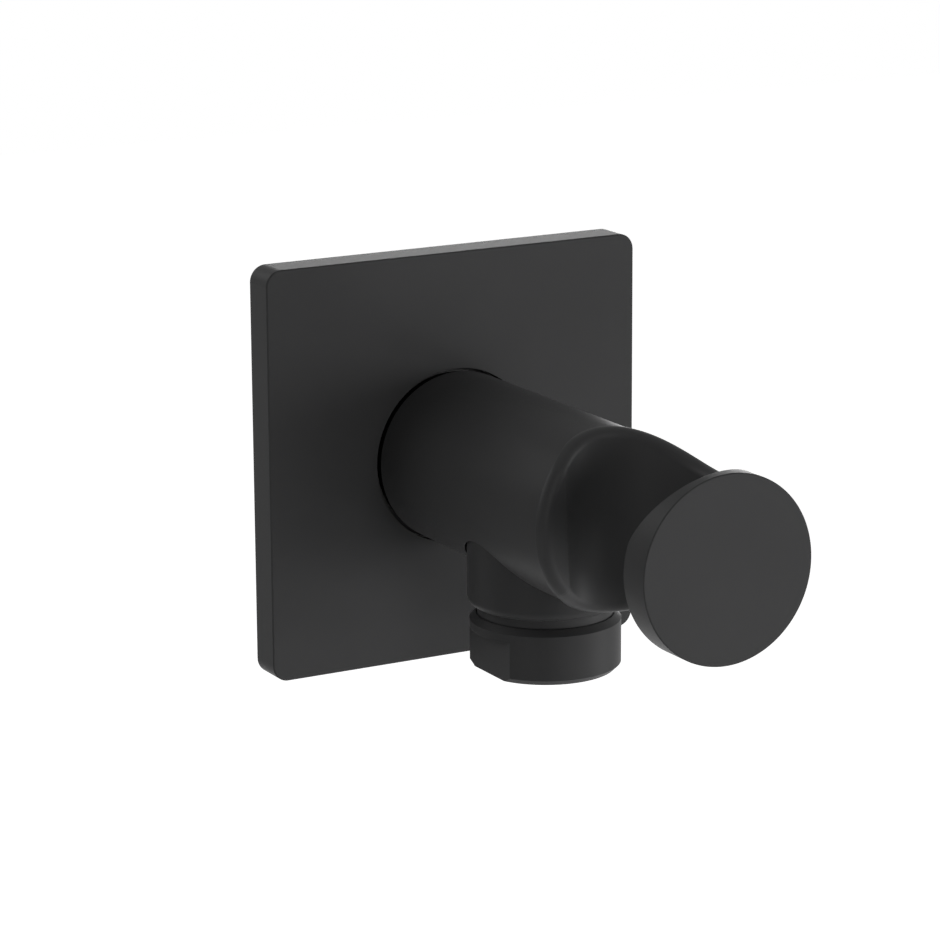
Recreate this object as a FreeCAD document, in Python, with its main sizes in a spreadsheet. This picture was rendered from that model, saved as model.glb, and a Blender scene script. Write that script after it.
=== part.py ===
import FreeCAD, Part
import math
import os
import re

import Sketcher

# Wall outlet elbow with a cradle for a hand shower.
# Every piece along the horizontal axis is drawn standing on the wall: its own X is to the right,
# its own Y is up and its own Z is the distance from the wall. onWall turns it into the frame of
# the part, where Z is up and the fitting looks along minus Y. The origin is on the wall, on the
# axis of the inlet.

# Cover plate
plateSide = 70.0
plateThick = 6.2
plateCorner = 2.8
plateFace = 2.2
plateRim = 2.4
plateGap = 0.4
plateCollarWall = 2.5
plateEdge = 0.2
gasketWidth = 3.5
# Body
bodyRadius = 14.65
bodyLength = 79.5
bodyRearGap = 1.0
neckStep = 0.55
bodyNeckShow = 0.6
chamberRadius = 6.5
holdRingPlace = 3.4
holdRingCord = 1.7
# Inlet nipple
nippleRadius = 9.4
nippleDepth = 22.0
nippleBore = 5.0
nippleFlange = 13.0
nippleFlangeThick = 2.0
inletThreadRadius = 10.48
inletThreadLength = 13.0
nippleRingCord = 1.6
nippleRingFront = 19.2
nippleRingRear = 15.2
hexFlats = 10.0
hexDepth = 6.0
lockPlace = 10.5
lockWidth = 1.6
lockDepth = 0.9
grubRadius = 2.5
grubRecess = 0.5
grubHexFlats = 2.5
grubHexDepth = 2.2
# Outlet stub
outletPlace = 30.2
stubProud = 0.35
stubTop = 6.6
stubBottom = 18.4
stubRound = 1.55
stubShow = 0.35
stubThreadRadius = 11.0
stubThreadTop = 0.0
stubBoreTop = 5.0
stubRingCord = 1.6
stubRingDrop = 4.6
collarRim = 1.25
neckBottom = 20.8
# Check valve
valveRadius = 7.5
valveTop = 1.0
valveSeat = 13.0
valveFlange = 8.7
valveFlangeThick = 0.9
valveMouth = 5.2
valveMouthDepth = 6.5
# Outlet collar
collarRadius = 12.45
collarTop = 19.85
collarBottom = 29.1
collarTopChamfer = 1.0
collarBottomChamfer = 0.45
collarFlatDepth = 1.2
collarFlatTop = 22.25
collarGap = 0.15
collarThreadRadius = 9.0
collarBore = 5.5
collarRingCord = 1.5
collarRingDrop = 18.75
hoseThreadRadius = 9.3
hoseSeat = 22.3
hoseLeadIn = 0.6
washerThick = 1.8
washerRoom = 9.7
threadRelief = 0.5
# Cradle
cradleSetback = 12.5
cradleAxis = -3.2
cradleHalfDepth = 15.8
cradleHalfWidth = 12.1
cradleMouth = 15.65
mouthSlant = 18.0
cradleSlope = 2.3
cradleCrease = 1.0
linerWall = 1.9
linerProud = 0.4
linerRound = 1.6
# Front disc
discProud = 0.35
discThick = 5.7
discEdge = 0.15
recessSetback = 13.5
recessRadius = 17.4
recessFloor = 1.0
studRadius = 1.25
studInset = 2.65
studUp = 4.0
studInBody = 5.0
studInDisc = 3.5
# Clearances
slipGap = 0.1
threadGap = 0.05

doc = FreeCAD.newDocument("HandShowerHook")
sizes = doc.addObject("Spreadsheet::Sheet", "Sizes")
driving = [(name, number) for name, number in globals().items() if isinstance(number, float)]
for row, (name, number) in enumerate(driving, 1):
    sizes.set("A%d" % row, name)
    sizes.set("B%d" % row, str(number))
    sizes.setAlias("B%d" % row, name)
doc.recompute()

words = re.compile(r"[A-Za-z]+")
functions = ("tan", "cos", "sqrt", "deg")


def formula(text):
    """Name the sheet before each size, so that the text can drive a property."""
    def named(match):
        word = match.group(0)
        return word if word in functions else "Sizes." + word
    return words.sub(named, text)


def value(text):
    """The number that a formula gives now."""
    result = sizes.evalExpression(formula(text))
    return float(getattr(result, "Value", result))


def drive(target, prop, text):
    target.setExpression(prop, formula(text))


def onWall(target):
    """Turn a piece drawn standing on the wall into the frame of the part."""
    target.Placement = FreeCAD.Placement(FreeCAD.Vector(), FreeCAD.Rotation(FreeCAD.Vector(1, 0, 0), 90))


def underOutlet(target):
    """Set a piece drawn round its own upright axis on the axis of the outlet."""
    outward = value("plateThick + outletPlace")
    target.Placement = FreeCAD.Placement(FreeCAD.Vector(0, -outward, 0), FreeCAD.Rotation())
    drive(target, "Placement.Base.y", "-(plateThick + outletPlace)")


def newBody(label):
    body = doc.addObject("PartDesign::Body", label)
    body.Label = label
    return body


def plane(body, role):
    return [item for item in body.Origin.OriginFeatures if item.Role == role][0]


def newSketch(body, name, role, offset=None):
    """Open a sketch on one of the body's own planes, moved along its normal by a formula."""
    sketch = body.newObject("Sketcher::SketchObject", name)
    sketch.AttachmentSupport = [(plane(body, role), "")]
    sketch.MapMode = "FlatFace"
    if offset is not None:
        sketch.AttachmentOffset = FreeCAD.Placement(FreeCAD.Vector(0, 0, value(offset)), FreeCAD.Rotation())
        drive(sketch, "AttachmentOffset.Base.z", offset)
    return sketch


def pin(sketch, kind, where, text, label):
    """Fix one coordinate or radius of the sketch with a formula."""
    index = sketch.addConstraint(Sketcher.Constraint(kind, *where, value(text)))
    sketch.renameConstraint(index, label)
    drive(sketch, "Constraints." + label, text)


def addCircle(sketch, radius, across="0", up="0"):
    centre = FreeCAD.Vector(value(across), value(up), 0)
    circle = sketch.addGeometry(Part.Circle(centre, FreeCAD.Vector(0, 0, 1), value(radius)))
    pin(sketch, "Radius", (circle,), radius, "radius%d" % circle)
    pin(sketch, "DistanceX", (circle, 3), across, "across%d" % circle)
    pin(sketch, "DistanceY", (circle, 3), up, "up%d" % circle)
    return circle


def addOutline(sketch, corners):
    """Draw a closed outline of straight lines; each corner is a pair of formulas."""
    points = [FreeCAD.Vector(value(across), value(up), 0) for across, up in corners]
    lines = []
    for index, start in enumerate(points):
        end = points[(index + 1) % len(points)]
        lines.append(sketch.addGeometry(Part.LineSegment(start, end)))
    for index, line in enumerate(lines):
        sketch.addConstraint(Sketcher.Constraint("Coincident", line, 2, lines[(index + 1) % len(lines)], 1))
    for line, (across, up) in zip(lines, corners):
        pin(sketch, "DistanceX", (line, 1), across, "across%d" % line)
        pin(sketch, "DistanceY", (line, 1), up, "up%d" % line)


def addBox(sketch, halfSide):
    addOutline(sketch, [("-(%s)" % halfSide, "-(%s)" % halfSide), (halfSide, "-(%s)" % halfSide),
                        (halfSide, halfSide), ("-(%s)" % halfSide, halfSide)])


def addHex(sketch, flats, across="0", up="0"):
    """Draw a hexagon from its width across flats, two corners on the sketch's own X."""
    reach = "(%s) / sqrt(3)" % flats
    corners = []
    for turn, rise in ((1, 0), (0.5, 1), (-0.5, 1), (-1, 0), (-0.5, -1), (0.5, -1)):
        corners.append(("%s + %s * %s" % (across, turn, reach), "%s + %s * (%s) / 2" % (up, rise, flats)))
    addOutline(sketch, corners)


def addPad(body, sketch, length, backwards=False):
    pad = body.newObject("PartDesign::Pad", sketch.Name + "Pad")
    pad.Profile = sketch
    pad.Length = value(length)
    drive(pad, "Length", length)
    pad.Reversed = backwards
    return pad


def addPocket(body, sketch, depth, backwards=False):
    """Cut a sketch into the body and make sure that material went."""
    doc.recompute()
    before = body.Shape.Volume
    pocket = body.newObject("PartDesign::Pocket", sketch.Name + "Pocket")
    pocket.Profile = sketch
    pocket.Length = value(depth)
    drive(pocket, "Length", depth)
    pocket.Reversed = backwards
    doc.recompute()
    if body.Shape.Volume > before - 1e-6:
        raise RuntimeError(pocket.Name + " cuts nothing")
    return pocket


def addTurned(body, name, corners):
    """Turn a closed outline, given as radius and height, round the body's own upright axis."""
    sketch = newSketch(body, name, "XZ_Plane")
    addOutline(sketch, corners)
    turned = body.newObject("PartDesign::Revolution", name + "Turned")
    turned.Profile = sketch
    turned.ReferenceAxis = (sketch, ["V_Axis"])
    turned.Angle = 360.0
    return turned


def addGroove(body, name, corners):
    doc.recompute()
    before = body.Shape.Volume
    sketch = newSketch(body, name, "XZ_Plane")
    addOutline(sketch, corners)
    groove = body.newObject("PartDesign::Groove", name + "Groove")
    groove.Profile = sketch
    groove.ReferenceAxis = (sketch, ["V_Axis"])
    groove.Angle = 360.0
    doc.recompute()
    if body.Shape.Volume > before - 1e-6:
        raise RuntimeError(groove.Name + " cuts nothing")
    return groove


def edgesWhere(shape, test):
    """Names of the edges whose every sample point passes the test."""
    names = []
    for index, edge in enumerate(shape.Edges, 1):
        points = edge.discretize(Number=7)
        if all(test(point) for point in points):
            names.append("Edge%d" % index)
    return names


def addChamfer(body, test, width):
    doc.recompute()
    base = body.Tip
    names = edgesWhere(base.Shape, test)
    if not names:
        raise RuntimeError(body.Label + " has no edge to chamfer")
    chamfer = body.newObject("PartDesign::Chamfer", body.Label + "Chamfer")
    chamfer.Base = (base, names)
    chamfer.Size = value(width)
    drive(chamfer, "Size", width)
    return chamfer


def addFillet(body, test, radius):
    doc.recompute()
    base = body.Tip
    names = edgesWhere(base.Shape, test)
    if not names:
        raise RuntimeError(body.Label + " has no edge to round")
    fillet = body.newObject("PartDesign::Fillet", body.Label + "Round")
    fillet.Base = (base, names)
    fillet.Radius = value(radius)
    drive(fillet, "Radius", radius)
    return fillet


def addRing(label, ringRadius, cord, place, seat):
    """Make a sealing ring as a torus round the body's own upright axis."""
    ring = doc.addObject("Part::Torus", label)
    ring.Label = label
    drive(ring, "Radius1", "%s - (%s) / 2" % (ringRadius, cord))
    drive(ring, "Radius2", "(%s) / 2" % cord)
    if seat == "wall":
        ring.Placement = FreeCAD.Placement(FreeCAD.Vector(0, -value(place), 0),
                                           FreeCAD.Rotation(FreeCAD.Vector(1, 0, 0), 90))
        drive(ring, "Placement.Base.y", "-(%s)" % place)
    else:
        underOutlet(ring)
        ring.Placement.Base.z = value(place)
        drive(ring, "Placement.Base.z", place)
    return ring


def near(number, target, slack=1e-3):
    return abs(number - target) < slack


pieces = []

# Cover plate: a square dish, open towards the wall, with a collar round its hole
plateBody = newBody("escutcheon")
onWall(plateBody)
plateOutline = newSketch(plateBody, "PlateOutline", "XY_Plane")
addBox(plateOutline, "plateSide / 2")
addPad(plateBody, plateOutline, "plateThick")
halfPlate = value("plateSide / 2")
addFillet(plateBody, lambda point: near(abs(point.x), halfPlate) and near(abs(point.y), halfPlate),
          "plateCorner")
plateHollow = newSketch(plateBody, "PlateHollow", "XY_Plane")
addBox(plateHollow, "plateSide / 2 - plateRim")
addCircle(plateHollow, "(bodyRadius + plateGap) + plateCollarWall")
addPocket(plateBody, plateHollow, "plateThick - plateFace", True)
plateHole = newSketch(plateBody, "PlateHole", "XY_Plane")
addCircle(plateHole, "(bodyRadius + plateGap)")
addPocket(plateBody, plateHole, "plateThick", True)
plateFront = value("plateThick")
addChamfer(plateBody, lambda point: near(point.z, plateFront) and point.Length > halfPlate - 3, "plateEdge")
pieces.append(plateBody)

# Foam seal in the dish, pressed between the plate and the wall
gasketBody = newBody("plate_gasket")
onWall(gasketBody)
gasketOutline = newSketch(gasketBody, "GasketOutline", "XY_Plane")
addBox(gasketOutline, "plateSide / 2 - plateRim - slipGap")
addBox(gasketOutline, "plateSide / 2 - plateRim - slipGap - gasketWidth")
addPad(gasketBody, gasketOutline, "plateThick - plateFace")
pieces.append(gasketBody)

# Ring that holds the plate on the rear neck of the body
plateRing = addRing("plate_oring", "bodyRadius + plateGap - threadGap", "holdRingCord", "holdRingPlace", "wall")
pieces.append(plateRing)

# Inlet nipple: threaded end in the wall, flange, and a sealed spigot in the body
nippleBody = newBody("inlet_nipple")
onWall(nippleBody)
flangeRear = "bodyRearGap - nippleFlangeThick"
threadRear = flangeRear + " - inletThreadLength"
addTurned(nippleBody, "NippleProfile", [
    ("nippleBore", threadRear),
    ("inletThreadRadius", threadRear),
    ("inletThreadRadius", flangeRear),
    ("nippleFlange", flangeRear),
    ("nippleFlange", "bodyRearGap"),
    ("nippleRadius", "bodyRearGap"),
    ("nippleRadius", "nippleDepth"),
    ("nippleBore", "nippleDepth")])
ringGrooves = (("NippleRear", "nippleRingRear"), ("NippleFront", "nippleRingFront"))
for name, place in ringGrooves:
    addGroove(nippleBody, name, [
        ("nippleRadius + slipGap - nippleRingCord", place + " - nippleRingCord / 2 - slipGap"),
        ("nippleRadius + slipGap", place + " - nippleRingCord / 2 - slipGap"),
        ("nippleRadius + slipGap", place + " + nippleRingCord / 2 + slipGap"),
        ("nippleRadius + slipGap - nippleRingCord", place + " + nippleRingCord / 2 + slipGap")])
addGroove(nippleBody, "NippleLock", [
    ("nippleRadius - lockDepth", "lockPlace - lockWidth / 2"),
    ("nippleRadius + slipGap", "lockPlace - lockWidth / 2 - lockDepth - 2 * slipGap"),
    ("nippleRadius + slipGap", "lockPlace + lockWidth / 2 + lockDepth + 2 * slipGap"),
    ("nippleRadius - lockDepth", "lockPlace + lockWidth / 2")])
nippleKey = newSketch(nippleBody, "NippleKey", "XY_Plane", "nippleDepth")
addHex(nippleKey, "hexFlats")
addPocket(nippleBody, nippleKey, "hexDepth")
pieces.append(nippleBody)
for name, place in (("nipple_oring_rear", "nippleRingRear"), ("nipple_oring_front", "nippleRingFront")):
    pieces.append(addRing(name, "nippleRadius + slipGap", "nippleRingCord", place, "wall"))


def addMouth(body, name, side, grow):
    """Plan of the cradle at one end of its height, grown outwards by a formula.

    The slanted mouth wall runs in from the left to a soft crease. From there the ellipse passes
    behind the handset, down its right side and round to the front, where the outline goes back to
    the left."""
    height = "(bodyRadius + linerProud + linerRound)"
    spread = "(%s + %s * %s * tan(cradleSlope * 1 deg))" % (grow, side, height)
    slant = "(mouthSlant * 1 deg)"
    sketch = newSketch(body, name, "XZ_Plane", "-(%s) * %s" % (side, height))
    halfWidth = "(cradleHalfWidth + %s)" % spread
    halfDepth = "(cradleHalfDepth + %s)" % spread
    middle = "(plateThick + bodyLength - cradleSetback)"
    mouth = "(%s - cradleMouth - %s / cos%s)" % (middle, spread, slant)
    left = "-(2 * bodyRadius)"
    mouthLeft = "%s + (cradleAxis - %s) * tan%s" % (mouth, left, slant)
    centre = FreeCAD.Vector(value("cradleAxis"), value(middle), 0)
    across = value(halfWidth)
    deep = value(halfDepth)
    frontEnd = centre + FreeCAD.Vector(0, deep, 0)
    leftEnd = centre - FreeCAD.Vector(across, 0, 0)
    fall = math.tan(math.radians(value("mouthSlant")))
    drop = value(mouth) - centre.y
    square = 1 / across ** 2 + (fall / deep) ** 2
    linear = -2 * fall * drop / deep ** 2
    reach = (-linear - math.sqrt(linear ** 2 - 4 * square * ((drop / deep) ** 2 - 1))) / (2 * square)
    creaseAngle = math.atan2(-reach / across, (drop - fall * reach) / deep)
    ellipse = Part.Ellipse(frontEnd, leftEnd, centre)
    curve = sketch.addGeometry(Part.ArcOfEllipse(ellipse, creaseAngle, 2 * math.pi))
    sketch.exposeInternalGeometry(curve)
    longAxis = curve + 1
    shortAxis = curve + 2
    behind = FreeCAD.Vector(value(left), value(mouthLeft), 0)
    before = FreeCAD.Vector(value(left), frontEnd.y, 0)
    wall = sketch.addGeometry(Part.LineSegment(behind, ellipse.value(creaseAngle)))
    close = sketch.addGeometry(Part.LineSegment(frontEnd, before))
    edge = sketch.addGeometry(Part.LineSegment(before, behind))
    sketch.addConstraint(Sketcher.Constraint("Coincident", wall, 2, curve, 1))
    sketch.addConstraint(Sketcher.Constraint("Coincident", curve, 2, close, 1))
    sketch.addConstraint(Sketcher.Constraint("Coincident", close, 2, edge, 1))
    sketch.addConstraint(Sketcher.Constraint("Coincident", edge, 2, wall, 1))
    sketch.addConstraint(Sketcher.Constraint("Horizontal", close))
    sketch.addConstraint(Sketcher.Constraint("Vertical", edge))
    sketch.addConstraint(Sketcher.Constraint("Vertical", longAxis))
    pin(sketch, "Distance", (longAxis,), "2 * " + halfDepth, "depth")
    pin(sketch, "Distance", (shortAxis,), "2 * " + halfWidth, "width")
    pin(sketch, "DistanceX", (curve, 3), "cradleAxis", "axis")
    pin(sketch, "DistanceY", (curve, 3), middle, "middle")
    pin(sketch, "DistanceX", (curve, 2), "cradleAxis", "frontEnd")
    pin(sketch, "DistanceX", (wall, 1), left, "left")
    pin(sketch, "DistanceY", (wall, 1), mouthLeft, "mouth")
    index = sketch.addConstraint(Sketcher.Constraint("Angle", wall, -math.radians(value("mouthSlant"))))
    sketch.renameConstraint(index, "slant")
    drive(sketch, "Constraints.slant", "-mouthSlant * 1 deg")
    return sketch


def addCradle(body, name, grow, cutting):
    """Loft the cradle between its lower and its upper plan; it widens upwards."""
    doc.recompute()
    before = body.Shape.Volume if cutting else 0.0
    lower = addMouth(body, name + "Lower", "-1", grow)
    upper = addMouth(body, name + "Upper", "1", grow)
    kind = "PartDesign::SubtractiveLoft" if cutting else "PartDesign::AdditiveLoft"
    loft = body.newObject(kind, name + "Loft")
    loft.Profile = lower
    loft.Sections = [upper]
    loft.Ruled = True
    doc.recompute()
    if cutting and body.Shape.Volume > before - 1.0:
        raise RuntimeError(loft.Name + " cuts nothing")
    return loft


# Body: turned bar with the inlet bore behind, the outlet bore below and the cradle cut in front
mainBody = newBody("body")
onWall(mainBody)
addTurned(mainBody, "BodyProfile", [
    ("nippleRadius + slipGap", "bodyRearGap"),
    ("(bodyRadius - neckStep)", "bodyRearGap"),
    ("(bodyRadius - neckStep)", "plateThick + bodyNeckShow"),
    ("bodyRadius", "plateThick + bodyNeckShow"),
    ("bodyRadius", "plateThick + bodyLength"),
    ("0", "plateThick + bodyLength"),
    ("0", "plateThick + outletPlace"),
    ("chamberRadius", "plateThick + outletPlace"),
    ("chamberRadius", "nippleDepth + slipGap"),
    ("nippleRadius + slipGap", "nippleDepth + slipGap")])
addGroove(mainBody, "HoldRing", [
    ("(bodyRadius + plateGap) - threadGap - holdRingCord", "holdRingPlace - holdRingCord / 2 - slipGap"),
    ("(bodyRadius - neckStep) + slipGap", "holdRingPlace - holdRingCord / 2 - slipGap"),
    ("(bodyRadius - neckStep) + slipGap", "holdRingPlace + holdRingCord / 2 + slipGap"),
    ("(bodyRadius + plateGap) - threadGap - holdRingCord", "holdRingPlace + holdRingCord / 2 + slipGap")])
stubSeat = newSketch(mainBody, "StubSeat", "XZ_Plane", "bodyRadius + slipGap")
addCircle(stubSeat, "(collarRadius + stubProud) + stubShow", "0", "plateThick + outletPlace")
addPocket(mainBody, stubSeat, "bodyRadius + slipGap - stubTop")
stubBore = newSketch(mainBody, "StubBore", "XZ_Plane", "stubTop + slipGap")
addCircle(stubBore, "stubThreadRadius", "0", "plateThick + outletPlace")
addPocket(mainBody, stubBore, "stubTop + slipGap + stubBoreTop")
grubHole = newSketch(mainBody, "GrubHole", "XZ_Plane", "bodyRadius + slipGap")
addCircle(grubHole, "grubRadius + threadGap", "0", "lockPlace")
addPocket(mainBody, grubHole, "bodyRadius + slipGap - nippleRadius + lockDepth")
for name, up in (("StudHoleUpper", "studUp"), ("StudHoleLower", "-studUp")):
    studHole = newSketch(mainBody, name, "XY_Plane", "plateThick + bodyLength")
    addCircle(studHole, "studRadius", "bodyRadius - studInset", up)
    addPocket(mainBody, studHole, "studInBody")
addCradle(mainBody, "BodyCradle", "linerWall + slipGap", True)
pieces.append(mainBody)

# Grub screw from below: its tip stands in the lock groove of the nipple
grubBody = newBody("grub_screw")
grubTip = "nippleRadius - lockDepth"
grubHead = "bodyRadius - grubRecess"
addTurned(grubBody, "GrubProfile", [
    ("0", "-(%s)" % grubTip),
    ("lockWidth / 2", "-(%s)" % grubTip),
    ("grubRadius", "-(%s) - grubRadius + lockWidth / 2" % grubTip),
    ("grubRadius", "-(%s)" % grubHead),
    ("0", "-(%s)" % grubHead)])
grubKey = newSketch(grubBody, "GrubKey", "XY_Plane", "-(%s)" % grubHead)
addHex(grubKey, "grubHexFlats")
addPocket(grubBody, grubKey, "grubHexDepth", True)
grubBody.Placement = FreeCAD.Placement(FreeCAD.Vector(0, -value("lockPlace"), 0), FreeCAD.Rotation())
drive(grubBody, "Placement.Base.y", "-lockPlace")
pieces.append(grubBody)

# Outlet stub: threaded up into the body, carries the check valve and the collar
stubBody = newBody("outlet_stub")
underOutlet(stubBody)
addTurned(stubBody, "StubProfile", [
    ("valveRadius + slipGap", "-stubThreadTop"),
    ("stubThreadRadius - threadGap", "-stubThreadTop"),
    ("stubThreadRadius - threadGap", "-stubTop"),
    ("(collarRadius + stubProud)", "-stubTop"),
    ("(collarRadius + stubProud)", "-stubBottom"),
    ("(collarRadius - collarRim)", "-stubBottom"),
    ("(collarRadius - collarRim)", "-neckBottom"),
    ("collarThreadRadius", "-neckBottom"),
    ("collarThreadRadius", "-valveSeat"),
    ("valveRadius + slipGap", "-valveSeat")])
stubEdge = value("(collarRadius + stubProud)")
stubLow = -value("stubBottom")
addFillet(stubBody, lambda point: near(point.z, stubLow) and near(math.hypot(point.x, point.y), stubEdge),
          "stubRound")
addGroove(stubBody, "StubRing", [
    ("stubThreadRadius - stubRingCord", "-stubRingDrop - stubRingCord / 2 - slipGap"),
    ("stubThreadRadius", "-stubRingDrop - stubRingCord / 2 - slipGap"),
    ("stubThreadRadius", "-stubRingDrop + stubRingCord / 2 + slipGap"),
    ("stubThreadRadius - stubRingCord", "-stubRingDrop + stubRingCord / 2 + slipGap")])
pieces.append(stubBody)
pieces.append(addRing("stub_oring", "stubThreadRadius", "stubRingCord", "-stubRingDrop", "outlet"))

# Check valve: one sealed cartridge, held in the stub by the collar's spigot
valveBody = newBody("check_valve")
underOutlet(valveBody)
valveFoot = "-(valveSeat + valveFlangeThick)"
addTurned(valveBody, "ValveProfile", [
    ("0", "-valveTop"),
    ("valveRadius - slipGap", "-valveTop"),
    ("valveRadius - slipGap", "-valveSeat"),
    ("valveFlange", "-valveSeat"),
    ("valveFlange", valveFoot),
    ("valveMouth", valveFoot),
    ("valveMouth", valveFoot + " + valveMouthDepth"),
    ("0", valveFoot + " + valveMouthDepth")])
pieces.append(valveBody)

# Outlet collar: spigot up in the stub, ring with two wrench flats, hose thread below
collarBody = newBody("outlet_collar")
underOutlet(collarBody)
addTurned(collarBody, "CollarProfile", [
    ("collarBore", valveFoot),
    ("collarThreadRadius - threadGap", valveFoot),
    ("collarThreadRadius - threadGap", "-neckBottom"),
    ("(collarRadius - collarRim) + collarGap", "-neckBottom"),
    ("(collarRadius - collarRim) + collarGap", "-collarTop"),
    ("collarRadius - collarTopChamfer", "-collarTop"),
    ("collarRadius", "-(collarTop + collarTopChamfer)"),
    ("collarRadius", "-(collarBottom - collarBottomChamfer)"),
    ("collarRadius - collarBottomChamfer", "-collarBottom"),
    ("hoseThreadRadius + hoseLeadIn", "-collarBottom"),
    ("hoseThreadRadius", "-(collarBottom - hoseLeadIn)"),
    ("hoseThreadRadius", "-(hoseSeat + washerThick + threadRelief)"),
    ("washerRoom", "-(hoseSeat + washerThick + threadRelief)"),
    ("washerRoom", "-hoseSeat"),
    ("collarBore", "-hoseSeat")])
addGroove(collarBody, "CollarRing", [
    ("collarThreadRadius - collarRingCord", "-collarRingDrop - collarRingCord / 2 - slipGap"),
    ("collarThreadRadius", "-collarRingDrop - collarRingCord / 2 - slipGap"),
    ("collarThreadRadius", "-collarRingDrop + collarRingCord / 2 + slipGap"),
    ("collarThreadRadius - collarRingCord", "-collarRingDrop + collarRingCord / 2 + slipGap")])
for name, hand in (("FlatRight", ""), ("FlatLeft", "-")):
    flat = newSketch(collarBody, name, "XY_Plane", "-collarBottom")
    addOutline(flat, [
        (hand + "(collarRadius - collarFlatDepth)", "-collarRadius"),
        (hand + "(collarRadius + slipGap)", "-collarRadius"),
        (hand + "(collarRadius + slipGap)", "collarRadius"),
        (hand + "(collarRadius - collarFlatDepth)", "collarRadius")])
    addPocket(collarBody, flat, "collarBottom - collarFlatTop", True)
pieces.append(collarBody)
pieces.append(addRing("collar_oring", "collarThreadRadius", "collarRingCord", "-collarRingDrop", "outlet"))

# Flat washer under the seat of the hose thread
washerBody = newBody("hose_washer")
underOutlet(washerBody)
washerOutline = newSketch(washerBody, "WasherOutline", "XY_Plane", "-hoseSeat")
addCircle(washerOutline, "washerRoom - slipGap")
addCircle(washerOutline, "collarBore")
addPad(washerBody, washerOutline, "washerThick", True)
pieces.append(washerBody)

# Cradle liner, first its inner form: a bar a little wider than the body with the cradle cut in,
# its rim rounded over and the crease beside the mouth softened
rimBody = newBody("LinerRim")
onWall(rimBody)
rimBack = "plateThick + bodyLength - cradleSetback - cradleHalfDepth - 3 * linerWall"
rimBar = newSketch(rimBody, "RimBar", "XY_Plane", rimBack)
addCircle(rimBar, "bodyRadius + linerProud")
addPad(rimBody, rimBar, "2 * cradleHalfDepth + 6 * linerWall")
addCradle(rimBody, "RimCradle", "0", True)
rimRadius = value("bodyRadius + linerProud")
rimStart = value(rimBack)
rimEnd = value(rimBack + " + 2 * cradleHalfDepth + 6 * linerWall")


def onRim(point):
    return near(math.hypot(point.x, point.z), rimRadius, 1e-2) and rimStart + 0.1 < -point.y < rimEnd - 0.1


def onCrease(point):
    middle = value("plateThick + bodyLength - cradleSetback")
    left = value("cradleAxis - cradleHalfWidth / 3")
    inside = math.hypot(point.x, point.z) < rimRadius + 1e-2
    return inside and -rimRadius < point.x < left and -point.y < middle


def edgeNumbers(shape, test):
    return [int(name[len("Edge"):]) for name in edgesWhere(shape, test)]


doc.recompute()
rimNumbers = edgeNumbers(rimBody.Shape, onRim)
creaseNumbers = [number for number in edgeNumbers(rimBody.Shape, onCrease) if number not in rimNumbers]
rimRound = doc.addObject("Part::Fillet", "LinerRimRound")
rimRound.Base = rimBody
rimRound.Edges = [(number, value("linerRound"), value("linerRound")) for number in rimNumbers] \
    + [(number, value("cradleCrease"), value("cradleCrease")) for number in creaseNumbers]

# Then its outer form: the wall behind the front disc, and a flange that stands in the disc's recess
wallBody = newBody("LinerWall")
onWall(wallBody)
addCradle(wallBody, "WallCradle", "linerWall", False)
wallFront = newSketch(wallBody, "WallFront", "XY_Plane", "plateThick + bodyLength")
addBox(wallFront, "3 * bodyRadius")
addPocket(wallBody, wallFront, "2 * discThick", True)
flangeBody = newBody("LinerFlange")
onWall(flangeBody)
flangePlan = newSketch(flangeBody, "FlangePlan", "XZ_Plane", "-(recessFloor + slipGap)")
addCircle(flangePlan, "recessRadius - slipGap", "cradleAxis", "plateThick + bodyLength - recessSetback")
addPad(flangeBody, flangePlan, "2 * bodyRadius", True)
flangeBack = newSketch(flangeBody, "FlangeBack", "XY_Plane", "plateThick + bodyLength")
addBox(flangeBack, "3 * bodyRadius")
addPocket(flangeBody, flangeBack, "bodyLength")
flangeLeft = newSketch(flangeBody, "FlangeLeft", "XY_Plane", "plateThick + bodyLength")
addOutline(flangeLeft, [
    ("-(3 * bodyRadius)", "-(3 * bodyRadius)"), ("cradleAxis", "-(3 * bodyRadius)"),
    ("cradleAxis", "3 * bodyRadius"), ("-(3 * bodyRadius)", "3 * bodyRadius")])
addPocket(flangeBody, flangeLeft, "2 * discThick", True)
outer = doc.addObject("Part::Fuse", "LinerOuter")
outer.Base = wallBody
outer.Tool = flangeBody
liner = doc.addObject("Part::Common", "cradle_liner")
liner.Label = "cradle_liner"
liner.Base = rimRound
liner.Tool = outer
pieces.append(liner)

# Front disc, a little wider than the body, on two studs in the right side of the body
discBody = newBody("front_disc")
onWall(discBody)
discOutline = newSketch(discBody, "DiscOutline", "XY_Plane", "plateThick + bodyLength")
addCircle(discOutline, "(bodyRadius + discProud)")
addPad(discBody, discOutline, "discThick")
for name, up in (("DiscHoleUpper", "studUp"), ("DiscHoleLower", "-studUp")):
    discHole = newSketch(discBody, name, "XY_Plane", "plateThick + bodyLength")
    addCircle(discHole, "studRadius", "bodyRadius - studInset", up)
    addPocket(discBody, discHole, "studInDisc", True)
discRecess = newSketch(discBody, "DiscRecess", "XZ_Plane", "-recessFloor")
addCircle(discRecess, "recessRadius", "cradleAxis", "plateThick + bodyLength - recessSetback")
addPocket(discBody, discRecess, "(bodyRadius + discProud)")
discRim = value("(bodyRadius + discProud)")
discFront = value("plateThick + bodyLength + discThick")
addChamfer(discBody, lambda point: near(point.z, discFront) and near(math.hypot(point.x, point.y), discRim),
           "discEdge")
pieces.append(discBody)
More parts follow.
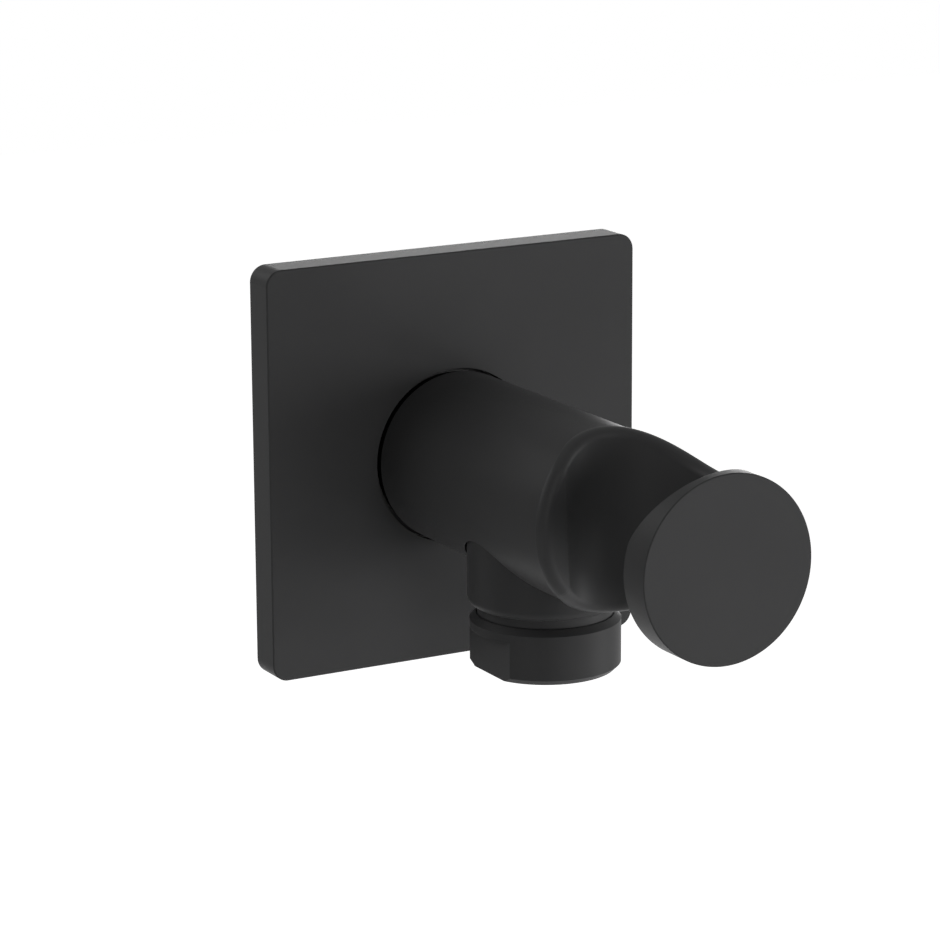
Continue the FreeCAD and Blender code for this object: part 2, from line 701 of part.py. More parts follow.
for label, up in (("disc_stud_upper", "studUp"), ("disc_stud_lower", "-studUp")):
    stud = newBody(label)
    onWall(stud)
    studOutline = newSketch(stud, label + "_outline", "XY_Plane", "plateThick + bodyLength - studInBody")
    addCircle(studOutline, "studRadius", "bodyRadius - studInset", up)
    addPad(stud, studOutline, "studInBody + studInDisc")
    pieces.append(stud)

doc.recompute()
failed = [item.Name for item in doc.Objects if "Invalid" in item.State or "Error" in item.State]
if failed:
    raise RuntimeError("features failed: " + ", ".join(failed))
for piece in pieces:
    shape = piece.Shape
    if shape.isNull() or not shape.isValid() or len(shape.Solids) != 1:
        raise RuntimeError("%s is not one valid solid" % piece.Label)
os.makedirs("parts", exist_ok=True)
for piece in pieces:
    piece.Shape.exportStep("parts/" + piece.Label + ".step")
    print("%-20s %10.1f mm3" % (piece.Label, piece.Shape.Volume))
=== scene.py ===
import math
import bpy
import bmesh
from mathutils import Vector, Matrix


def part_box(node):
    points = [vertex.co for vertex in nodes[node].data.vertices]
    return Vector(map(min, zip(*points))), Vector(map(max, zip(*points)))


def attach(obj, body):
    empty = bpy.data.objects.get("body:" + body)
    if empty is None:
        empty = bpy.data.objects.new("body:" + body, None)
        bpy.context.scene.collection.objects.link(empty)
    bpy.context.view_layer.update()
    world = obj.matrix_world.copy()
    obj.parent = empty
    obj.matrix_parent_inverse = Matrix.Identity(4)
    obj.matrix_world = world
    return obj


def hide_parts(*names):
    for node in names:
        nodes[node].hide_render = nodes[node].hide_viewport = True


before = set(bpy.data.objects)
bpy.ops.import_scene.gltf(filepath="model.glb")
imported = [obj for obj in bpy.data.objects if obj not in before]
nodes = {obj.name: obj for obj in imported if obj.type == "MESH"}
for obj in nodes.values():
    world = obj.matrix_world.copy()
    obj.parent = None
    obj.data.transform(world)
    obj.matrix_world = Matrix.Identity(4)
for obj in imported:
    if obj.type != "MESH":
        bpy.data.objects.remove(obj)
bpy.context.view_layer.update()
scene = bpy.context.scene
print("frame loaded:", len(nodes), "pieces from the CAD")


def addNode(tree, kind, values=None, **settings):
    # makes a node, sets its properties, then fills or links its input sockets
    node = tree.nodes.new(kind)
    for setting, value in settings.items():
        setattr(node, setting, value)
    for socket, value in (values or {}).items():
        if isinstance(value, bpy.types.NodeSocket):
            tree.links.new(value, node.inputs[socket])
        else:
            node.inputs[socket].default_value = value
    return node


def calc(tree, operation, first, second=0.0, third=0.0):
    values = {0: first, 1: second, 2: third}
    return addNode(tree, "ShaderNodeMath", values, operation=operation).outputs[0]


cameraSetup = {
    "place": (-0.29491, -0.54618, 0.14904),   # metres, in the part's frame
    "heading": 28.862,                        # degrees to the right of straight at the wall
    "tiltDown": 13.846,
    "roll": -0.339,
    "sensor": 36.0,                           # mm, as the lens
    "lens": 143.03,
    "near": 0.05,
    "far": 20.0,
}


def makeCamera(setup):
    data = bpy.data.cameras.new("viewCamera")
    data.sensor_width = setup["sensor"]
    data.lens = setup["lens"]
    data.clip_start = setup["near"]
    data.clip_end = setup["far"]
    camera = bpy.data.objects.new("viewCamera", data)
    scene.collection.objects.link(camera)
    heading, tilt, roll = (math.radians(setup[key]) for key in ("heading", "tiltDown", "roll"))
    forward = Vector((
        math.sin(heading) * math.cos(tilt), math.cos(heading) * math.cos(tilt), -math.sin(tilt)))
    right = Vector((math.cos(heading), -math.sin(heading), 0))
    up = right.cross(forward)
    rolledRight = right * math.cos(roll) + up * math.sin(roll)
    rolledUp = up * math.cos(roll) - right * math.sin(roll)
    turn = Matrix((rolledRight, rolledUp, -forward)).transposed()
    camera.matrix_world = Matrix.Translation(Vector(setup["place"])) @ turn.to_4x4()
    scene.camera = camera


makeCamera(cameraSetup)
print("camera set")

studio = {
    "floorDrop": 0.62,              # metres below the inlet axis
    "floorSize": 8.0,
    "floorTone": 0.85,
    "floorGlow": 1.0,               # lifts the floor to white and leaves the object's shadow on it
    "worldLevel": 0.05,             # light that comes evenly from all round
    "lampAim": (0, -0.045, 0),
    "lampDistance": 1.2,
    "lampSize": 0.6,                # round lamps, this far across
    "lamps": {
        # bearing in degrees, to the right from straight in front of the plate; height in
        # degrees; power in watts
        "overhead": (0, 89, 2.2),
        "front": (0, 0, 4.6),
        "frontHigh": (0, 30, 3.5),
        "frontLow": (0, -60, 6.5),
        "frontRightLow": (30, -30, 3.9),
        "right": (60, 0, 11.4),
        "rightLow": (60, -30, 6.3),
        "leftLow": (-60, -30, 3.8),
        "behindLeft": (-120, 30, 4.2),
        "behindLeftFar": (-150, 30, 3.0),
        "behindRight": (150, 0, 4.5),
        "behindLow": (180, -60, 10.2),
    },
}
white = (1, 1, 1, 1)


def meetsBackground(tree):
    # 1 for the rays that find the white background: the camera's own, mirrored ones and those
    # seen through glass
    path = addNode(tree, "ShaderNodeLightPath").outputs
    either = calc(tree, "MAXIMUM", path["Is Camera Ray"], path["Is Glossy Ray"])
    return calc(tree, "MAXIMUM", either, path["Is Transmission Ray"])


def makeWorld(setup):
    world = bpy.data.worlds.new("softRoom")
    world.use_nodes = True
    tree = world.node_tree
    tree.nodes.clear()
    soft = addNode(tree, "ShaderNodeBackground", {"Color": white, "Strength": setup["worldLevel"]})
    full = addNode(tree, "ShaderNodeBackground", {"Color": white, "Strength": 1.0})
    mix = addNode(tree, "ShaderNodeMixShader", {
        0: meetsBackground(tree), 1: soft.outputs[0], 2: full.outputs[0]})
    addNode(tree, "ShaderNodeOutputWorld", {"Surface": mix.outputs[0]})
    scene.world = world


def makeFloor(setup):
    half = setup["floorSize"] / 2
    low = -setup["floorDrop"]
    tone = setup["floorTone"]
    mesh = bpy.data.meshes.new("studioFloor")
    corners = [(-half, -half, low), (half, -half, low), (half, half, low), (-half, half, low)]
    mesh.from_pydata(corners, [], [(0, 1, 2, 3)])
    material = bpy.data.materials.new("paleFloor")
    material.use_nodes = True
    tree = material.node_tree
    tree.nodes.clear()
    matt = addNode(tree, "ShaderNodeBsdfDiffuse", {"Color": (tone, tone, tone, 1)})
    glow = calc(tree, "MULTIPLY", meetsBackground(tree), setup["floorGlow"])
    lift = addNode(tree, "ShaderNodeEmission", {"Color": white, "Strength": glow})
    both = addNode(tree, "ShaderNodeAddShader", {0: matt.outputs[0], 1: lift.outputs[0]})
    addNode(tree, "ShaderNodeOutputMaterial", {"Surface": both.outputs[0]})
    mesh.materials.append(material)
    floor = bpy.data.objects.new("studioFloor", mesh)
    scene.collection.objects.link(floor)


def makeLamps(setup):
    aim = Vector(setup["lampAim"])
    for name, (bearing, height, power) in setup["lamps"].items():
        data = bpy.data.lights.new(name, "AREA")
        data.shape = "DISK"
        data.size = setup["lampSize"]
        data.energy = power
        lamp = bpy.data.objects.new(name, data)
        scene.collection.objects.link(lamp)
        turn, rise = math.radians(bearing), math.radians(height)
        towards = Vector((
            math.sin(turn) * math.cos(rise), -math.cos(turn) * math.cos(rise), math.sin(rise)))
        lamp.location = aim + towards * setup["lampDistance"]
        lamp.rotation_mode = "QUATERNION"
        lamp.rotation_quaternion = (-towards).to_track_quat("-Z", "Y")
        lamp.visible_camera = False


makeWorld(studio)
makeFloor(studio)
makeLamps(studio)
scene.view_settings.view_transform = "Standard"
print("studio set:", len(studio["lamps"]), "lamps")


def newGroup(name, inputs, outputs):
    # each socket is given as its label and its kind; the materials fill in all the values
    tree = bpy.data.node_groups.new(name, "ShaderNodeTree")
    for direction, sockets in (("INPUT", inputs), ("OUTPUT", outputs)):
        for label, kind in sockets.items():
            tree.interface.new_socket(
                name=label, in_out=direction, socket_type="NodeSocket" + kind)
    given = tree.nodes.new("NodeGroupInput").outputs
    result = tree.nodes.new("NodeGroupOutput").inputs
    return tree, given, result


def objectPlace(tree):
    return addNode(tree, "ShaderNodeTexCoord").outputs["Object"]


def split(tree, vector):
    return addNode(tree, "ShaderNodeSeparateXYZ", {"Vector": vector}).outputs


def combine(tree, x=0.0, y=0.0, z=0.0):
    return addNode(tree, "ShaderNodeCombineXYZ", {"X": x, "Y": y, "Z": z}).outputs[0]


def scaled(tree, color, amount):
    values = {0: color, "Scale": amount}
    return addNode(tree, "ShaderNodeVectorMath", values, operation="SCALE").outputs["Vector"]


def lengthOf(tree, vector):
    return addNode(tree, "ShaderNodeVectorMath", {0: vector}, operation="LENGTH").outputs["Value"]


def raised(tree, height, distance, normal):
    values = {"Height": height, "Distance": distance, "Normal": normal}
    return addNode(tree, "ShaderNodeBump", values).outputs["Normal"]


skinPattern = {
    "grainDetail": 3.0,
    "grainRoughness": 0.55,
    "driftPerMetre": 55.0,
    "driftDetail": 4.0,
    "driftRange": (0.3, 0.7),       # the noise between these is spread over the whole tone range
    "edgeSamples": 6,
}


def makeSkin(pattern):
    # fine skin of a coated or moulded surface: the tone drifts slowly, gloss and height change in
    # small grains, and sharp edges are softened
    tree, given, result = newGroup("surfaceSkin", {
        "Color": "Color", "Tone Spread": "Float", "Roughness": "Float", "Gloss Spread": "Float",
        "Grain Size": "Float", "Grain Depth": "Float", "Edge Radius": "Float",
    }, {"Color": "Color", "Roughness": "Float", "Normal": "Vector"})
    place = objectPlace(tree)
    grain = addNode(tree, "ShaderNodeTexNoise", {
        "Vector": place, "Scale": calc(tree, "DIVIDE", 1.0, given["Grain Size"]),
        "Detail": pattern["grainDetail"], "Roughness": pattern["grainRoughness"]}).outputs["Fac"]
    drift = addNode(tree, "ShaderNodeTexNoise", {
        "Vector": place, "Scale": pattern["driftPerMetre"],
        "Detail": pattern["driftDetail"]}).outputs["Fac"]
    low, high = pattern["driftRange"]
    tone = addNode(tree, "ShaderNodeMapRange", {
        "Value": drift, "From Min": low, "From Max": high,
        "To Min": calc(tree, "SUBTRACT", 1.0, given["Tone Spread"]),
        "To Max": calc(tree, "ADD", 1.0, given["Tone Spread"])}).outputs["Result"]
    tree.links.new(scaled(tree, given["Color"], tone), result["Color"])
    unevenness = calc(tree, "SUBTRACT", grain, 0.5)
    gloss = calc(tree, "MULTIPLY_ADD", unevenness, given["Gloss Spread"], given["Roughness"])
    tree.links.new(gloss, result["Roughness"])
    edge = addNode(tree, "ShaderNodeBevel", {
        "Radius": given["Edge Radius"]}, samples=pattern["edgeSamples"]).outputs["Normal"]
    tree.links.new(raised(tree, grain, given["Grain Depth"], edge), result["Normal"])
    return tree


def makeTurnedRings():
    # marks that a lathe tool leaves round the Z axis of the place given: rings on faces, lines
    # round walls
    tree, given, result = newGroup(
        "turnedRings", {"Place": "Vector", "Spacing": "Float"}, {"Mark": "Float"})
    apart = split(tree, given["Place"])
    away = lengthOf(tree, combine(tree, x=apart["X"], y=apart["Y"]))
    noise = addNode(tree, "ShaderNodeTexNoise", {
        "Vector": combine(tree, x=away, y=apart["Z"]),
        "Scale": calc(tree, "DIVIDE", 1.0, given["Spacing"])})
    tree.links.new(noise.outputs["Fac"], result["Mark"])
    return tree


def makeFoamCells():
    # small closed cells, rounded and of uneven size
    tree, given, result = newGroup(
        "foamCells", {"Cell Size": "Float", "Softness": "Float"}, {"Wall": "Float"})
    cells = addNode(tree, "ShaderNodeTexVoronoi", {
        "Vector": objectPlace(tree), "Scale": calc(tree, "DIVIDE", 1.0, given["Cell Size"]),
        "Smoothness": given["Softness"]}, feature="SMOOTH_F1")
    tree.links.new(cells.outputs["Distance"], result["Wall"])
    return tree


jointGap = {
    # the narrow gap between the body's neck and the plate's hole, round the inlet's axis, where
    # shade is painted into the coat; metres
    "neckInside": 0.0139,
    "neckOutside": 0.0144,
    "holeOutside": 0.0152,
    "neckFront": -0.0069,
    "plateFront": -0.00615,
    "back": -0.0015,
}


def makeJointShade(gap):
    # painted shade: 0 on the walls of the gap, where no light comes, and 1 elsewhere
    tree, _, result = newGroup("jointShade", {}, {"Light": "Float"})
    apart = split(tree, objectPlace(tree))
    away = lengthOf(tree, combine(tree, x=apart["X"], z=apart["Z"]))

    def within(outside, front):
        inReach = calc(tree, "LESS_THAN", away, outside)
        behindFront = calc(tree, "GREATER_THAN", apart["Y"], front)
        return calc(tree, "MULTIPLY", inReach, behindFront)

    neck = within(gap["neckOutside"], gap["neckFront"])
    hole = within(gap["holeOutside"], gap["plateFront"])
    outOfBore = calc(tree, "GREATER_THAN", away, gap["neckInside"])
    beforeBack = calc(tree, "LESS_THAN", apart["Y"], gap["back"])
    limits = calc(tree, "MULTIPLY", outOfBore, beforeBack)
    inGap = calc(tree, "MULTIPLY", calc(tree, "MAXIMUM", neck, hole), limits)
    tree.links.new(calc(tree, "SUBTRACT", 1.0, inGap), result["Light"])
    return tree


surfaceSkin = makeSkin(skinPattern)
turnedRings = makeTurnedRings()
foamCells = makeFoamCells()
jointShade = makeJointShade(jointGap)

finishes = {
    # the grain's size and depth and the radius of softened edges are in metres
    # the matt coat has shade painted into the gap between the body's neck and the plate's hole
    "mattCoat": dict(
        color=(0.0262, 0.0262, 0.0266), toneSpread=0.04, roughness=0.45, glossSpread=0.08,
        grainSize=0.00036, grainDepth=0.0000040, edgeRadius=0.00007, metallic=0.0, specular=0.04,
        paintedGapShade=True),
    "satinPlastic": dict(
        color=(0.0245, 0.0245, 0.0249), toneSpread=0.04, roughness=0.45, glossSpread=0.06,
        grainSize=0.00030, grainDepth=0.0000020, edgeRadius=0.00007, metallic=0.0, specular=0.07),
    "blackRubber": dict(
        color=(0.016, 0.016, 0.016), toneSpread=0.10, roughness=0.62, glossSpread=0.15,
        grainSize=0.00050, grainDepth=0.0000060, edgeRadius=0.00010, metallic=0.0, specular=0.4),
    "greyFoam": dict(
        color=(0.060, 0.060, 0.062), toneSpread=0.15, roughness=0.90, glossSpread=0.10,
        grainSize=0.00020, grainDepth=0.0000100, edgeRadius=0.00020, metallic=0.0, specular=0.3,
        cellSize=0.00075, cellDepth=0.00012, cellSoftness=0.25),
    "machinedBrass": dict(
        color=(0.72, 0.52, 0.25), toneSpread=0.08, roughness=0.27, glossSpread=0.18,
        grainSize=0.00022, grainDepth=0.0000010, edgeRadius=0.00012, metallic=1.0, specular=0.5,
        ringSpacing=0.00022, ringDepth=0.0000030, ringTurn=(90, 0, 0)),
    "plainSteel": dict(
        color=(0.52, 0.52, 0.53), toneSpread=0.06, roughness=0.30, glossSpread=0.15,
        grainSize=0.00020, grainDepth=0.0000015, edgeRadius=0.00010, metallic=1.0, specular=0.5),
    "paleMoulding": dict(
        color=(0.78, 0.78, 0.75), toneSpread=0.03, roughness=0.42, glossSpread=0.08,
        grainSize=0.00040, grainDepth=0.0000020, edgeRadius=0.00012, metallic=0.0, specular=0.5),
}
skinSockets = {
    "Tone Spread": "toneSpread", "Roughness": "roughness", "Gloss Spread": "glossSpread",
    "Grain Size": "grainSize", "Grain Depth": "grainDepth", "Edge Radius": "edgeRadius",
}


def makeFinish(name, look):
    material = bpy.data.materials.new(name)
    material.use_nodes = True
    tree = material.node_tree
    shader = tree.nodes["Principled BSDF"]
    skinValues = {socket: look[key] for socket, key in skinSockets.items()}
    skinValues["Color"] = (*look["color"], 1)
    skin = addNode(tree, "ShaderNodeGroup", skinValues, node_tree=surfaceSkin).outputs
    color, roughness, normal = skin["Color"], skin["Roughness"], skin["Normal"]
    if "ringSpacing" in look:
        turn = tuple(math.radians(angle) for angle in look["ringTurn"])
        turned = addNode(tree, "ShaderNodeMapping", {"Vector": objectPlace(tree), "Rotation": turn})
        rings = addNode(tree, "ShaderNodeGroup", {
            "Place": turned.outputs["Vector"], "Spacing": look["ringSpacing"]},
            node_tree=turnedRings)
        normal = raised(tree, rings.outputs["Mark"], look["ringDepth"], normal)
    if "cellSize" in look:
        cells = addNode(tree, "ShaderNodeGroup", {
            "Cell Size": look["cellSize"], "Softness": look["cellSoftness"]}, node_tree=foamCells)
        normal = raised(tree, cells.outputs["Wall"], look["cellDepth"], normal)
    # painted shade: on the walls of the neck's gap the colour is scaled to black and the roughness
    # raised to 1
    if look.get("paintedGapShade"):
        light = addNode(tree, "ShaderNodeGroup", node_tree=jointShade).outputs["Light"]
        color = scaled(tree, color, light)
        roughness = calc(tree, "MAXIMUM", roughness, calc(tree, "SUBTRACT", 1.0, light))
    tree.links.new(color, shader.inputs["Base Color"])
    tree.links.new(roughness, shader.inputs["Roughness"])
    tree.links.new(normal, shader.inputs["Normal"])
    shader.inputs["Metallic"].default_value = look["metallic"]
    shader.inputs["Specular IOR Level"].default_value = look["specular"]
    return material


materials = {name: makeFinish(name, look) for name, look in finishes.items()}

pieceFinish = {
    "mattCoat": ("escutcheon", "body", "outlet_stub", "outlet_collar", "front_disc"),
    "satinPlastic": ("cradle_liner",),
    "greyFoam": ("plate_gasket",),
    "blackRubber": (
        "plate_oring", "nipple_oring_rear", "nipple_oring_front", "stub_oring", "collar_oring",
        "hose_washer"),
    "machinedBrass": ("inlet_nipple",),
    "plainSteel": ("grub_screw", "disc_stud_upper", "disc_stud_lower"),
    "paleMoulding": ("check_valve",),
}
for finish, pieces in pieceFinish.items():
    for piece in pieces:
        slots = nodes[piece].data.materials
        slots.clear()
        slots.append(materials[finish])
print("finishes made:", len(materials))

meshWork = {
    "doubles": 1e-7,                    # metres: vertices this close are one
    "slivers": 1e-8,
    "nearby": 2e-5,                     # a vertex this close to a surface or a level lies on it
    "sharpAngle": math.radians(32.0),   # edges that turn more than this stay sharp
}


def mergedCopy(node):
    # a CAD node's mesh is loose triangles, so this works on a merged copy
    work = bmesh.new()
    work.from_mesh(nodes[node].data)
    bmesh.ops.remove_doubles(work, verts=work.verts, dist=meshWork["doubles"])
    bmesh.ops.dissolve_degenerate(work, edges=work.edges, dist=meshWork["slivers"])
    return work


def toMesh(work, name):
    mesh = bpy.data.meshes.new(name)
    work.to_mesh(mesh)
    work.free()
    return mesh


def toObject(name, mesh):
    made = bpy.data.objects.new(name, mesh)
    scene.collection.objects.link(made)
    return made


def toPiece(work, name, finish):
    # a thread's faces are tagged and stay smooth among themselves
    for face in work.faces:
        face.smooth = True
    for edge in work.edges:
        inThread = all(face.tag for face in edge.link_faces)
        edge.smooth = inThread or edge.calc_face_angle(0.0) < meshWork["sharpAngle"]
    mesh = toMesh(work, name)
    if "custom_normal" in mesh.attributes:
        # the normals of the old triangles don't fit the new faces
        mesh.attributes.remove(mesh.attributes["custom_normal"])
    mesh.materials.append(materials[finish])
    return toObject(name, mesh)


def smoothByAngle(mesh):
    mesh.shade_smooth()
    mesh.set_sharp_from_angle(angle=meshWork["sharpAngle"])


threadForm = {
    "pitch": 0.001814,       # G1/2, 14 turns to the inch
    "depth": 0.00108,
    "crestShare": 0.14,      # flat part of each turn at the crest, the root has the same
    "ringsPerTurn": 12,
}

wallThread = {
    "through": (0, 0, 0),
    "axis": (0, 1, 0),
    "wall": 0.01048,         # radius of the plain wall in the CAD
    "start": 0.001,          # along the axis
    "startFade": 0.0012,     # the thread grows to its full form over this length
    "endFade": 0.0009,
}

hoseThread = {
    "through": (0, -0.0364, 0),
    "axis": (0, 0, 1),
    "wall": 0.0093,
    "start": -0.0285,
    "end": -0.0246,
    "startFade": 0.0005,
    "endFade": 0.0009,
    "depthShare": 0.62,      # less than the full depth, to leave the collar a wall at its flats
}


def threadShape(phase, crestShare):
    # 0 at the root and 1 at the crest over one turn, with rounded shoulders
    away = abs(phase % 1.0 - 0.5) * 2.0
    rise = 1.0 - (away - crestShare) / (1.0 - 2.0 * crestShare)
    rise = min(1.0, max(0.0, rise))
    return rise * rise * (3.0 - 2.0 * rise)


def addThread(work, form, wall, end, rootRadius, crestRadius):
    # takes out the plain wall between two heights along the axis and puts a threaded wall in
    # its place
    axis, side, centre = Vector(wall["axis"]), Vector((1, 0, 0)), Vector(wall["through"])
    across = axis.cross(side)
    start = wall["start"]
    nearby = meshWork["nearby"]

    def local(point):
        away = point - centre
        return away.dot(side), away.dot(across), away.dot(axis)

    def angleOf(vert):
        a, b, height = local(vert.co)
        return math.atan2(b, a)

    def onWall(vert):
        a, b, height = local(vert.co)
        atRadius = abs(math.hypot(a, b) - wall["wall"]) < nearby
        return atRadius and start - nearby < height < end + nearby

    plain = [face for face in work.faces if all(onWall(vert) for vert in face.verts)]
    bmesh.ops.delete(work, geom=plain, context="FACES")

    def endRing(level):
        ring = [vert for vert in work.verts
                if onWall(vert) and abs(local(vert.co)[2] - level) < nearby
                and any(edge.is_boundary for edge in vert.link_edges)]
        return sorted(ring, key=angleOf)

    first, last = endRing(start), endRing(end)
    count = len(first)
    if count == 0 or count != len(last):
        raise RuntimeError("the thread's end rings don't match: %d and %d" % (count, len(last)))
    angles = [angleOf(vert) for vert in first]
    steps = round((end - start) / form["pitch"] * form["ringsPerTurn"])
    rings = [first]
    for step in range(1, steps):
        height = start + (end - start) * step / steps
        fade = min(1.0, (height - start) / wall["startFade"], (end - height) / wall["endFade"])
        ring = []
        for angle in angles:
            phase = height / form["pitch"] - angle / (2 * math.pi)
            shape = threadShape(phase, form["crestShare"])
            radius = rootRadius + (crestRadius - rootRadius) * shape * fade
            around = side * math.cos(angle) + across * math.sin(angle)
            ring.append(work.verts.new(centre + axis * height + around * radius))
        rings.append(ring)
    rings.append(last)
    for vert in first + last:
        a, b, height = local(vert.co)
        toRoot = rootRadius / math.hypot(a, b)
        vert.co = centre + axis * height + (side * a + across * b) * toRoot
    turns = []
    for low, high in zip(rings, rings[1:]):
        for index in range(count):
            after = (index + 1) % count
            turns.append(work.faces.new((low[index], low[after], high[after], high[index])))
    bmesh.ops.recalc_face_normals(work, faces=work.faces)
    for face in work.faces:
        face.tag = False
    for face in turns:
        face.tag = True


def makeNipple(form, wall):
    work = mergedCopy("inlet_nipple")
    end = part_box("inlet_nipple")[1].y
    addThread(work, form, wall, end, wall["wall"] - form["depth"], wall["wall"])
    piece = toPiece(work, "nippleThreaded", "machinedBrass")
    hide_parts("inlet_nipple")
    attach(piece, "root")


collarDetail = {
    "radius": 0.01245,
    "bottom": -0.0291,
    "cadChamfer": 0.00045,   # round the lower end
    "chamfer": 0.0009,       # as wide as it looks in the photograph
    "flatAway": 0.01051,     # distance of each wrench flat from the collar's axis
    "flatTop": -0.02225,     # the flats end here, under the round rim
    "cutBottom": -0.0310,    # the blocks that cut the flats reach out of the collar, below it
    "cutReach": 0.0140,      # and beside it
}


def widenChamfer(work, detail, centre):
    nearby = meshWork["nearby"]
    radius, bottom, old = detail["radius"], detail["bottom"], detail["cadChamfer"]
    for vert in work.verts:
        away = Vector((vert.co.x - centre[0], vert.co.y - centre[1]))
        height = vert.co.z - bottom
        if abs(away.length - radius) < nearby and abs(height - old) < nearby:
            vert.co.z = bottom + detail["chamfer"]
        elif abs(away.length - radius + old) < nearby and abs(height) < nearby:
            away *= (radius - detail["chamfer"]) / away.length
            vert.co.x, vert.co.y = centre[0] + away.x, centre[1] + away.y


def flatCutter(detail, hand, centre):
    # a block outside the flat on one side
    reach = detail["cutReach"]
    left, right = sorted((hand * detail["flatAway"], hand * reach))
    low = Vector((left, centre[1] - reach, detail["cutBottom"]))
    high = Vector((right, centre[1] + reach, detail["flatTop"]))
    work = bmesh.new()
    bmesh.ops.create_cube(work, size=1.0)
    for vert in work.verts:
        vert.co = Vector(high[axis] if vert.co[axis] > 0 else low[axis] for axis in range(3))
    return toObject("flatCutter", toMesh(work, "flatCutter"))


def cutAway(piece, cutter):
    cut = piece.modifiers.new("cut", "BOOLEAN")
    cut.operation = "DIFFERENCE"
    cut.solver = "EXACT"
    cut.object = cutter
    result = piece.evaluated_get(bpy.context.evaluated_depsgraph_get())
    mesh = bpy.data.meshes.new_from_object(result)
    piece.modifiers.clear()
    piece.data = mesh
    bpy.data.objects.remove(cutter)


def makeCollar(form, wall, detail):
    centre = wall["through"]
    work = mergedCopy("outlet_collar")
    widenChamfer(work, detail, centre)
    rootRadius = wall["wall"] + wall["depthShare"] * form["depth"]
    addThread(work, form, wall, wall["end"], wall["wall"], rootRadius)
    piece = toPiece(work, "collarThreaded", "mattCoat")
    for hand in (-1, 1):
        cutAway(piece, flatCutter(detail, hand, centre))
    piece.data.name = piece.name
    smoothByAngle(piece.data)
    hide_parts("outlet_collar")
    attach(piece, "root")


makeNipple(threadForm, wallThread)
makeCollar(threadForm, hoseThread, collarDetail)
print("threads cut: wall inlet and hose outlet")

valveGuide = {
    "centre": (0, -0.0364, -0.0134),     # middle of its lower edge, in the mouth of the check valve
    "sizes": {
        "Rib Count": 4,
        "Rib Thickness": 0.0009,
        "Rib Height": 0.0022,
        "Edge Round": 0.00022,
        "Hub Radius": 0.0016,
        "Hub Height": 0.0040,
        "Ring Radius": 0.00523,          # outside of the ring, pressed a hair into the mouth's wall
        "Ring Wall": 0.0008,
        "Stem Radius": 0.0008,
        "Stem Height": 0.0062,
        "Stem Drop": 0.0003,             # the stem's tip stands this far below the hub
    },
    "steps": {"round": 4, "post": 40, "ring": 96},
}


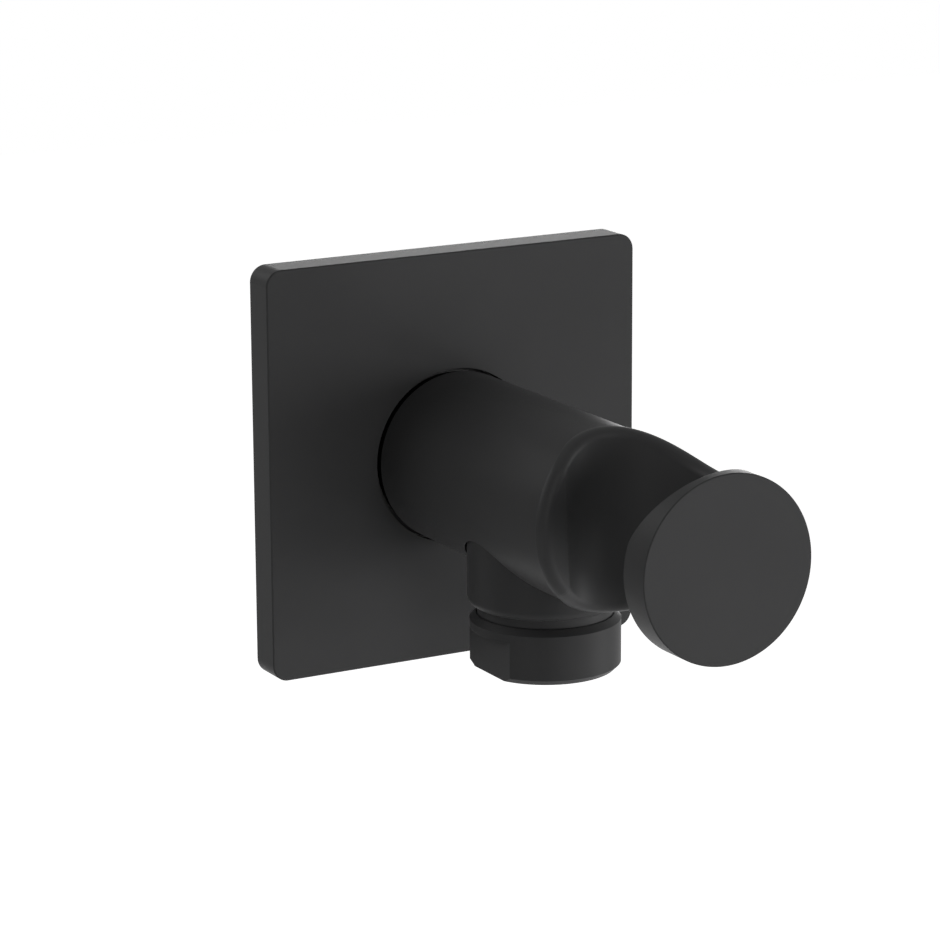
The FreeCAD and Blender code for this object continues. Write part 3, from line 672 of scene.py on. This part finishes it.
def makeValveGuideTree(sizes, steps):
    # a ring with ribs to a hub that guides the valve's stem
    tree = bpy.data.node_groups.new("valveGuide", "GeometryNodeTree")
    for label, value in sizes.items():
        kind = "NodeSocketInt" if isinstance(value, int) else "NodeSocketFloat"
        socket = tree.interface.new_socket(name=label, in_out="INPUT", socket_type=kind)
        socket.default_value = value
    for label, direction in (("Material", "INPUT"), ("Geometry", "OUTPUT")):
        tree.interface.new_socket(name=label, in_out=direction, socket_type="NodeSocket" + label)
    given = tree.nodes.new("NodeGroupInput").outputs

    def circle(radius, resolution):
        return addNode(tree, "GeometryNodeCurvePrimitiveCircle", {
            "Resolution": resolution, "Radius": radius}).outputs[0]

    def line(start, end):
        return addNode(tree, "GeometryNodeCurvePrimitiveLine", {
            "Start": start, "End": end}).outputs[0]

    def sweep(path, outline, caps=True):
        return addNode(tree, "GeometryNodeCurveToMesh", {
            "Curve": path, "Profile Curve": outline, "Fill Caps": caps}).outputs[0]

    def roundedBar(width, height):
        flat = addNode(tree, "GeometryNodeCurvePrimitiveQuadrilateral", {
            "Width": width, "Height": height})
        return addNode(tree, "GeometryNodeFilletCurve", {
            "Curve": flat.outputs[0], "Count": steps["round"],
            "Radius": given["Edge Round"]}, mode="POLY").outputs[0]

    def post(radius, low, high):
        path = line(combine(tree, z=low), combine(tree, z=high))
        return sweep(path, circle(radius, steps["post"]))

    half = calc(tree, "MULTIPLY", given["Rib Height"], 0.5)
    middle = calc(tree, "MULTIPLY_ADD", given["Ring Wall"], -0.5, given["Ring Radius"])
    ringPath = addNode(tree, "GeometryNodeTransform", {
        "Geometry": circle(middle, steps["ring"]), "Translation": combine(tree, z=half)})
    ringBar = roundedBar(given["Ring Wall"], given["Rib Height"])
    ring = sweep(ringPath.outputs[0], ringBar, caps=False)
    ribPath = line(combine(tree, z=half), combine(tree, x=middle, z=half))
    rib = sweep(ribPath, roundedBar(given["Rib Thickness"], given["Rib Height"]))
    places = addNode(tree, "GeometryNodePoints", {"Count": given["Rib Count"]})
    index = addNode(tree, "GeometryNodeInputIndex").outputs[0]
    turn = calc(tree, "MULTIPLY", index, calc(tree, "DIVIDE", 2 * math.pi, given["Rib Count"]))
    ribs = addNode(tree, "GeometryNodeInstanceOnPoints", {
        "Points": places.outputs[0], "Instance": rib, "Rotation": combine(tree, z=turn)})
    ribsReal = addNode(tree, "GeometryNodeRealizeInstances", {0: ribs.outputs[0]})
    hub = post(given["Hub Radius"], 0.0, given["Hub Height"])
    tip = calc(tree, "MULTIPLY", given["Stem Drop"], -1.0)
    stem = post(given["Stem Radius"], tip, given["Stem Height"])
    whole = addNode(tree, "GeometryNodeMeshBoolean", operation="UNION", solver="EXACT")
    for part in (ring, ribsReal.outputs[0], hub, stem):
        tree.links.new(part, whole.inputs["Mesh 2"])
    real = addNode(tree, "GeometryNodeRealizeInstances", {0: whole.outputs[0]})
    dressed = addNode(tree, "GeometryNodeSetMaterial", {
        "Geometry": real.outputs[0], "Material": given["Material"]})
    addNode(tree, "NodeGroupOutput", {"Geometry": dressed.outputs[0]})
    return tree


def fromTree(name, tree, values):
    # runs a Geometry Nodes tree on an empty object and keeps the result as a plain mesh
    carrier = toObject(name + "Carrier", bpy.data.meshes.new(name + "Carrier"))
    modifier = carrier.modifiers.new(name, "NODES")
    modifier.node_group = tree
    for item in tree.interface.items_tree:
        if item.item_type == "SOCKET" and item.in_out == "INPUT" and item.name in values:
            modifier[item.identifier] = values[item.name]
    result = carrier.evaluated_get(bpy.context.evaluated_depsgraph_get())
    mesh = bpy.data.meshes.new_from_object(result)
    bpy.data.objects.remove(carrier)
    mesh.name = name
    smoothByAngle(mesh)
    return toObject(name, mesh)


def makeValveGuide(guide):
    tree = makeValveGuideTree(guide["sizes"], guide["steps"])
    piece = fromTree("valveGuide", tree, dict(guide["sizes"], Material=materials["paleMoulding"]))
    piece.data.transform(Matrix.Translation(Vector(guide["centre"])))
    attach(piece, "root")
    print("valve guide made:", len(piece.data.polygons), "faces")


makeValveGuide(valveGuide)
